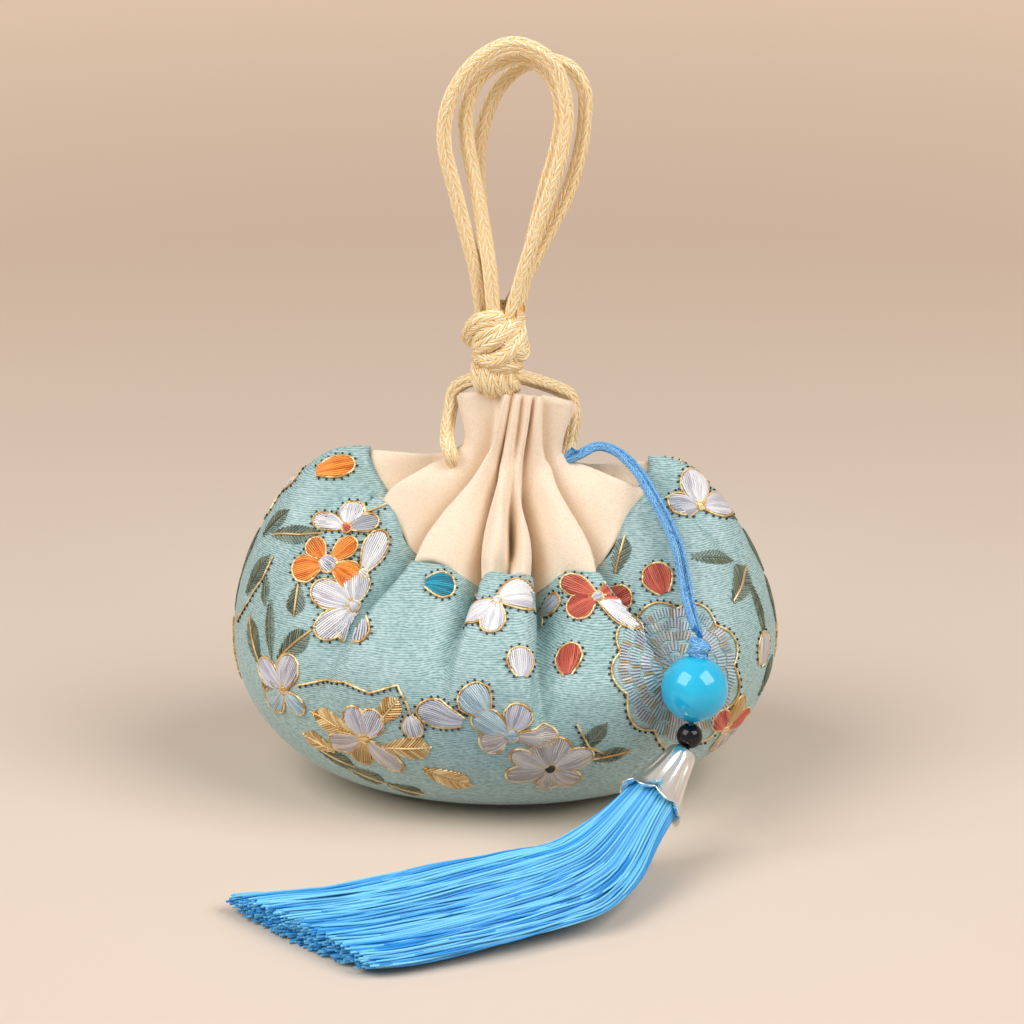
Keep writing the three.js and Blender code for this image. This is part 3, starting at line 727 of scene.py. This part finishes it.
def braid(line, diameter):
    """The yarns of a round braid as they show: columns of slanting stitches, each dipping under the next.
    The slant changes from column to column, and each stitch is painted lightest where it stands out, a
    painted highlight, and darker where it dips, as painted shade."""
    frames = line_frames(line)
    step = line_length(line) / (len(line) - 1)
    columns = 6
    slant_columns = 1.1
    stitch = 1.05 * diameter
    gap = 0.42 * diameter
    yarn = 0.11 * diameter
    dip = 0.9
    threads = []
    shades = []
    for column in range(columns):
        slant = 1 if column % 2 else -1
        for place in range(round(line_length(line) / gap)):
            for half in (-0.5, 0.5):
                thread = []
                thread_shades = []
                for k in range(5):
                    run = (place + half * 0.5) * gap + stitch * (k / 4 - 0.5)
                    point, side, other = frames[min(len(frames) - 1, max(0, round(run / step)))]
                    out = math.sin(math.pi * k / 4)
                    angle = 2 * math.pi * (column + 0.5 + slant * slant_columns * (k / 4 - 0.5)) / columns
                    radius = diameter / 2 - yarn * (0.5 + dip * (1 - out))
                    thread.append(point + (side * math.cos(angle) + other * math.sin(angle)) * radius)
                    # Painted highlight at the stitch's middle, where it stands out, and painted golden shade
                    # at its ends, where it dips under the next
                    thread_shades.append(0.2 + 0.8 * out)
                threads.append(thread)
                shades.append(thread_shades)
    return threads, shades, yarn


def drifting_finish(light, dark, grain):
    """Colour that drifts between two shades, in patches of a size given in millimetres."""

    def linked(material):
        place = add_node(material, "TexCoord", {}).outputs["Object"]
        drift = add_node(material, "TexNoise", {"Vector": place, "Scale": 1 / (grain * MM), "Detail": 2})
        colour = add_node(material, "ValToRGB", {"Fac": drift.outputs["Fac"]})
        colour.color_ramp.elements[0].position = 0.35
        colour.color_ramp.elements[0].color = linear(dark)
        colour.color_ramp.elements[1].position = 0.65
        colour.color_ramp.elements[1].color = linear(light)
        return {"Base Color": colour.outputs["Color"]}

    return linked


# Satin cord: glossy viscose yarns, with a painted cream highlight where they stand out and painted golden
# shade where they dip under others, round a matt golden core
satin_shine = {"Roughness": 0.25, "Specular IOR Level": 0.8}
core_shine = {"Roughness": 0.6}
satin = finish_material("golden satin yarn", satin_shine, shaded_finish("#FFFBE6", "#FFD27C"))
satin_core = finish_material("golden satin core", core_shine, drifting_finish("#FBCB78", "#F0B560", 2.0))


def add_cord(name, nodes, lines, diameter, outside, inside):
    """A braided cord on one or more lines, with its core, in place of its solids."""
    yarn_radius = 0.56
    core_inset = 1.3
    threads = []
    shades = []
    cores = []
    for line in lines:
        yarn_lines, yarn_painted_shading, yarn = braid(line, diameter)
        threads += yarn_lines
        shades += yarn_painted_shading
        cores.append(line[::2] if len(line) % 2 else line[:-1:2] + line[-1:])
    mesh = thread_mesh(name, threads, yarn * yarn_radius)
    shade_threads(mesh, shades)
    core_mesh = thread_mesh(name + "_core", cores, diameter / 2 - core_inset * yarn, resolution=2)
    cord = add_piece(name, mesh, "sachet", outside)
    core = add_piece(name + "_core", core_mesh, "sachet", inside)
    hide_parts(*nodes)
    return cord, core


# A leg starts 3 mm under the collar's cloth and ends inside the knot
hidden_start = 3
for name, route in routes.items():
    if name.startswith("drawstring"):
        end_x, _, end_z = route[-1]
        route = [into_cloth(route[0], hidden_start), *route, (0.3 * end_x, 0, end_z + 1)]
    line = smooth_line(route, 0.5 * MM)
    cord, core = add_cord(name + "_braid", [name], [line], satin_diameter, satin, satin_core)

# Hanger knot: the satin cord's own bights, drawn tight over one another, with a few turns wrapped below
# them. Each band's ends dive into the knot, and a like band lies behind it, as the back isn't seen.
knot_x = -1.4
knot_y = 0.0
knot_diameter = 3.3 * MM
knot_step = 0.45 * MM
dive_share = 0.4
back_share = 0.75
knot_bands = [
    [(0.2, -3, 88.9), (-1.6, -4.4, 88.6), (-3.5, -4.2, 87.8), (-4.6, -2.8, 86.4), (-4.4, -1, 85)],
    [
        (-0.5, -2.6, 90), (-2.4, -4.2, 90.4), (-4.3, -4, 90), (-6.1, -2.6, 88.2), (-6.3, -0.6, 86),
        (-4.8, 1.2, 84.6),
    ],
    [
        (2.4, 0.4, 89.6), (1.6, -2.6, 89.2), (0.4, -4.4, 88.4), (-1.2, -5.2, 87.1), (-2.9, -4.9, 86),
        (-4.7, -2.8, 84.4),
    ],
    [
        (-4.6, -1.8, 82.4), (-3.8, -3.8, 83), (-2, -5.2, 82.9), (0, -5.5, 84), (1.6, -4.8, 85.7),
        (2.6, -2.4, 87.6),
    ],
    [(0.2, -4.6, 86.1), (1.6, -4.5, 84.6), (2.7, -3.2, 83.4), (3.2, -1.2, 84.1), (2.6, 0.6, 85)],
    [(-1.6, -4.2, 81.6), (-0.1, -4.5, 81.9), (1.2, -4, 81.9), (2.1, -2.4, 81.5)],
    [(-4.4, -0.6, 81.4), (-4.7, -2.6, 79.6), (-4.4, -2.9, 77.9), (-3.7, -1.6, 76.6)],
    [(-2.5, -1.8, 81.6), (-2.8, -3.7, 79.8), (-2.7, -3.9, 78), (-2.2, -2.6, 76.4)],
    [(-0.6, -2, 81.6), (-1.1, -3.9, 79.8), (-0.8, -3.9, 78), (0.2, -2.4, 76.4)],
    [(0.4, -2.4, 81.2), (0.1, -3.7, 79.6), (0.7, -3.2, 78), (1.5, -1.2, 76.8)],
]
knot_lines = []
for band in knot_bands:
    dives = []
    for x, y, z in (band[0], band[-1]):
        dives.append((knot_x + dive_share * (x - knot_x), knot_y + dive_share * (y - knot_y), z))
    front = [dives[0], *band, dives[1]]
    back = [(knot_x + back_share * (knot_x - x), 2 * knot_y - y, z) for x, y, z in front]
    knot_lines.append(smooth_line(front, knot_step))
    knot_lines.append(smooth_line(back, knot_step))
add_cord("knot_bands", ["hanger_knot"], knot_lines, knot_diameter, satin, satin_core)

# Blue cord: two strands of fine blue satin braid. They come out of the neck beside the frill and lie side
# by side over the collar and the belly, down to the knot above the beads.
blue_diameter = 1.4 * MM
strand_offset = 0.95
belly_height = 27
blue_line = [
    (11.2, -0.4, 62.4), (13.9, -1.4, 63.9), (17.2, -0.6, 65.2), (20.8, -2.4, 64.6), (24.5, -5.6, 61.8),
    (27.3, -11.4, 58.5), (29.7, -14.2, 54.5), (31.6, -17.4, 50.4), (32.7, -20.4, 44.8),
    (33.4, -24.2, 41.9), (34, -28.6, 40.4), (34.4, -31.6, 39.7),
]
# Blue satin: the same glossy yarns, with a painted pale highlight where they stand out and painted dark blue
# shade where they dip, round a matt blue core
blue_satin = finish_material("blue satin yarn", satin_shine, shaded_finish("#A2E0FC", "#1080D6"))
blue_core = finish_material("blue satin core", core_shine, drifting_finish("#2C86C8", "#1A66A6", 1.5))
for name, side in (("blue_strand_left", -strand_offset), ("blue_strand_right", strand_offset)):
    strand_points = []
    for i, point in enumerate(blue_line):
        before = Vector(blue_line[max(i - 1, 0)])
        after = Vector(blue_line[min(i + 1, len(blue_line) - 1)])
        outward = Vector((point[0], point[1], point[2] - belly_height))
        aside = outward.cross(after - before).normalized()
        strand_points.append(Vector(point) + aside * side)
    line = smooth_line([into_cloth(strand_points[0], hidden_start), *strand_points], 0.4 * MM)
    cord, core = add_cord(name + "_braid", [name], [line], blue_diameter, blue_satin, blue_core)

# Pendant: a knot in the blue cord stops a blue bead and a small black one above a silver cap, and the
# cord's end runs through all of them. The beads turn on it.
bead_turn = Vector((-0.100164, -0.190312, -0.9766)).to_track_quat("Z", "Y")
knot_place = Vector((34.622, -33.484, 37.42))
blue_bead_place = (33.906, -34.844, 30.438)
blue_bead_diameter = 12 * MM
black_bead_place = (33.039, -36.491, 21.99)
black_bead_diameter = 4.7 * MM
bead_bore = 2 * MM
cloud_size = 7 * MM

# The knot is three rings of cord on the beads' line: each by its height, radius and tilt in degrees
small_knot_diameter = 1.6 * MM
small_knot = []
for height, radius, tilt in ((-0.75, 1.25, 24), (0.1, 1.45, -20), (0.85, 1.2, 26)):
    ring = []
    for i in range(13):
        angle = 2 * math.pi * i / 12
        spot = Vector((radius * math.cos(angle), radius * math.sin(angle), height))
        spot.z += radius * math.cos(angle) * math.tan(math.radians(tilt))
        ring.append(bead_turn @ spot + knot_place)
    small_knot.append(smooth_line(ring, 0.35 * MM))
add_cord(
    "pendant_knot_bands",
    ["pendant_knot"],
    small_knot,
    small_knot_diameter,
    blue_satin,
    blue_core,
)


def bead_mesh(name, diameter, place):
    """A round bead on the cord: a ball with its two poles cut off and a bore between them."""
    ball = bmesh.new()
    bmesh.ops.create_uvsphere(ball, u_segments=48, v_segments=32, radius=diameter / 2)
    poles = [v for v in ball.verts if math.hypot(v.co.x, v.co.y) < bead_bore / 2]
    bmesh.ops.delete(ball, geom=poles, context="VERTS")
    mouths = [e for e in ball.edges if e.is_boundary]
    bmesh.ops.bridge_loops(ball, edges=mouths)
    bmesh.ops.recalc_face_normals(ball, faces=ball.faces)
    on_cord = Matrix.Translation(Vector(place) * MM) @ bead_turn.to_matrix().to_4x4()
    bmesh.ops.transform(ball, matrix=on_cord, verts=ball.verts)
    mesh = bpy.data.meshes.new(name)
    ball.to_mesh(mesh)
    ball.free()
    return mesh


def milky_glass(material):
    """A faint cloud of a lighter blue."""
    place = add_node(material, "TexCoord", {}).outputs["Object"]
    cloud = add_node(material, "TexNoise", {"Vector": place, "Scale": 1 / cloud_size, "Detail": 1})
    colour = add_node(material, "ValToRGB", {"Fac": cloud.outputs["Fac"]})
    colour.color_ramp.elements[0].position = 0.3
    colour.color_ramp.elements[0].color = linear("#0CB0E0")
    colour.color_ramp.elements[1].position = 0.7
    colour.color_ramp.elements[1].color = linear("#24C8EE")
    return {"Base Color": colour.outputs["Color"]}


# Milky glass: polished, with light that wanders a little way into it; the black glass lets none in
cyan_glass = finish_material(
    "milky blue glass",
    {
        "Roughness": 0.06,
        "Subsurface Weight": 0.5,
        "Subsurface Radius": [0.3, 0.8, 1.0],
        "Subsurface Scale": 3 * MM,
        "Coat Weight": 0.2,
        "Coat Roughness": 0.03,
    },
    milky_glass,
)
black_glass = finish_material(
    "black glass",
    {"Roughness": 0.08, "Specular IOR Level": 0.35},
    drifting_finish("#101011", "#080809", 2),
)
blue_ball = bead_mesh("blue_bead", blue_bead_diameter, blue_bead_place)
black_ball = bead_mesh("black_bead", black_bead_diameter, black_bead_place)
blue_bead = add_piece("blue_glass_bead", blue_ball, "blue_bead", cyan_glass)
black_bead = add_piece("black_glass_bead", black_ball, "black_bead", black_glass)
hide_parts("blue_bead")
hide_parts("black_bead")
# The cord's end inside the beads is the solid itself, in the core's matt blue
cord_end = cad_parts["pendant_core"].data
cord_end.materials.clear()
cord_end.materials.append(blue_core)

# Tassel cap: pressed from thin silver-plated metal, with eight flutes and a scalloped lip. The cord's end
# passes through the hole in its top and holds the tassel's head inside it.
haze_size = 1.2 * MM


def silver_marks(material):
    """Patches that are a little more or less polished."""
    place = add_node(material, "TexCoord", {}).outputs["Object"]
    haze = add_node(material, "TexNoise", {"Vector": place, "Scale": 1 / haze_size, "Detail": 3})
    rough = add_node(material, "MapRange", {"Value": haze.outputs["Fac"], "To Min": 0.12, "To Max": 0.24})
    return {"Roughness": rough.outputs["Result"]}


# Silver plate: bright, with a slight haze from handling
silver = finish_material("silver plate", {"Base Color": linear("#F6F4F2"), "Metallic": 1.0}, silver_marks)
cap = add_piece("fluted_cap", rounded_form("tassel_cap", edge_crease=0.5), "sachet", silver)
add_rounding(cap)
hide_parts("tassel_cap")

# Tassel: some hundreds of loose viscose threads, tied in the cap and combed out over the ground, with
# their ends cut on a slant.
cap_line = Vector((-0.525229, -0.648282, -0.551240))
cap_top = Vector((32.073, -37.787, 19.628))
cap_length = 12.4
tassel_route = [
    cap_top + cap_line * cap_length * 0.3, cap_top + cap_line * cap_length, (15, -55, 5.6),
    (8, -58.6, 4.3), (-3, -64, 3.4), (-14, -69.4, 2.9), (-25, -73.6, 2.6), (-35.6, -76.3, 2.5),
]
tassel_line = smooth_line(tassel_route, 2.7 * MM)
tassel_rows = len(tassel_line) - 1

# The threads fill the cap's round section evenly, each a golden angle on from the last, and then fan out to
# a flat one, both given by half sizes in millimetres. Each wanders a little and is trimmed at its end.
thread_count = 760
thread_radius = 0.24 * MM
golden_angle = 2.399963
head_half = 2.4
cap_flare = 2.1
fan_half_width = 16.2
fan_half_depth = 2.4
cut_slant = 0.6
lowest = 0.35 * MM
strands = random.Random(11)
tassel_threads = []
shades = []
for i in range(thread_count):
    turn = i * golden_angle
    reach = math.sqrt((i + 0.5) / thread_count)
    aside = reach * math.cos(turn)
    upward = reach * math.sin(turn)
    wander = strands.uniform(0, 2 * math.pi)
    trim = strands.uniform(0, 0.8)
    thread = []
    for k, point in enumerate(tassel_line):
        share = k / tassel_rows
        after = tassel_line[min(k + 1, tassel_rows)]
        before = tassel_line[max(k - 1, 0)]
        along = (after - before).normalized()
        across = Vector((0, 0, 1)).cross(along).normalized()
        lifted = along.cross(across)
        fan = ramp(share, 0.04, 0.55)
        fan = fan * fan * (3 - 2 * fan)
        half_round = head_half + cap_flare * ramp(share, 0, 0.09)
        half_width = half_round * (1 - fan) + fan_half_width * fan
        half_depth = half_round * (1 - fan) + fan_half_depth * fan
        loose = 0.35 * fan * math.sin(9 * share + wander) + 0.2 * fan * math.sin(23 * share + 2 * wander)
        place = point + across * (aside * half_width + loose) * MM
        place += lifted * (upward * half_depth + 0.15 * fan * math.sin(14 * share + wander)) * MM
        place -= along * cut_slant * fan * aside * half_width * MM
        place.z = max(place.z, lowest)
        thread.append(place)
    thread[-1] = thread[-2].lerp(thread[-1], 1 - trim)
    tassel_threads.append(thread)
    shades.append([strands.random()] * len(thread))
tassel_mesh = thread_mesh("tassel_threads", tassel_threads, thread_radius)
shade_threads(tassel_mesh, shades)

# Viscose thread: glossy and slippery, each thread a little lighter or darker than its neighbours
viscose_shades = shaded_finish("#88E0FF", "#1494E6")
tassel_thread = finish_material("blue viscose thread", {"Roughness": 0.32}, viscose_shades)
tassel = add_piece("tassel_strands", tassel_mesh, "sachet", tassel_thread)
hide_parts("tassel")

# Studio: a pale tan floor under two soft lamps and an even sky. Far off, where the lamps don't reach, the
# floor has a painted glow in the same pale tone, seen only by the camera, so that it lights nothing.
floor_radius = 30


def floor_tone(material):
    """Pale tan, a little darker at middle distance and lighter far off as painted light, with a painted glow
    for the camera.
    """
    place = add_node(material, "TexCoord", {}).outputs["Object"]
    far = add_node(material, "VectorMath", {0: place}, operation="LENGTH")
    share = add_node(material, "MapRange", {"Value": far.outputs["Value"], "From Min": 0.1, "From Max": 0.9})
    # The ramp's far end is lighter as painted light, where the lamps fall off
    colour = add_node(material, "ValToRGB", {"Fac": share.outputs["Result"]})
    colour.color_ramp.elements[0].color = linear("#E6D4C3")
    colour.color_ramp.elements[1].color = linear("#F4DAC2")
    middle = colour.color_ramp.elements.new(0.45)
    middle.color = linear("#DCC2AC")
    # Painted glow: emission seen by the camera only, rising with distance
    seen = add_node(material, "LightPath", {}).outputs["Is Camera Ray"]
    fade = {"Value": far.outputs["Value"], "From Min": 0.2, "From Max": 1, "To Max": 0.54}
    dim = add_node(material, "MapRange", fade)
    glow = add_node(material, "Math", {0: seen, 1: dim.outputs["Result"]}, operation="MULTIPLY")
    return {"Base Color": colour.outputs["Color"], "Emission Strength": glow.outputs["Value"]}


# Backdrop paper: matt, so that it shows the object's shadow and no gloss
# The emission colour is that of the far floor's painted glow
paper_values = {"Roughness": 0.95, "Emission Color": linear("#D4B9A2")}
paper = finish_material("matt backdrop paper", paper_values, floor_tone)
ground = bmesh.new()
bmesh.ops.create_circle(ground, cap_ends=True, segments=64, radius=floor_radius)
ground_mesh = bpy.data.meshes.new("floor")
ground.to_mesh(ground_mesh)
ground.free()
ground_mesh.materials.append(paper)
floor = bpy.data.objects.new("floor", ground_mesh)
bpy.context.scene.collection.objects.link(floor)

lamp_aim = Vector((0, 0, 0.04))
for name, place, size, power in (
    ("left_lamp", (-0.6, -0.4, 0.75), 0.75, 7.4),
    ("right_lamp", (0.6, -0.35, 0.7), 0.65, 6.2),
):
    lamp_data = bpy.data.lights.new(name, "AREA")
    lamp_data.energy = power
    lamp_data.size = size
    lamp = bpy.data.objects.new(name, lamp_data)
    lamp.location = place
    lamp.rotation_euler = (lamp_aim - lamp.location).to_track_quat("-Z", "Y").to_euler()
    bpy.context.scene.collection.objects.link(lamp)

# The sky is brighter where the camera or a gloss shows it than where it lights the object
world = bpy.data.worlds.new("even sky")
world.use_nodes = True
sky = world.node_tree.nodes["Background"]
sky.inputs["Color"].default_value = linear("#F2E8DE")
path = add_node(world, "LightPath", {}).outputs
shown = add_node(world, "Math", {0: path["Is Camera Ray"], 1: path["Is Glossy Ray"]}, operation="MAXIMUM")
strength = add_node(world, "MapRange", {"Value": shown.outputs["Value"], "To Min": 0.24, "To Max": 0.7})
world.node_tree.links.new(strength.outputs["Result"], sky.inputs["Strength"])
bpy.context.scene.world = world

# The camera looks down on the front at 18 degrees
camera_tilt = 90 - 18
lens = bpy.data.cameras.new("camera")
lens.sensor_width = 36
lens.lens = 111.95
camera = bpy.data.objects.new("camera", lens)
camera.location = (0.00134, -0.5648, 0.2357)
camera.rotation_euler = (math.radians(camera_tilt), 0, 0)
bpy.context.scene.collection.objects.link(camera)
bpy.context.scene.camera = camera
bpy.context.scene.view_settings.view_transform = "Standard"
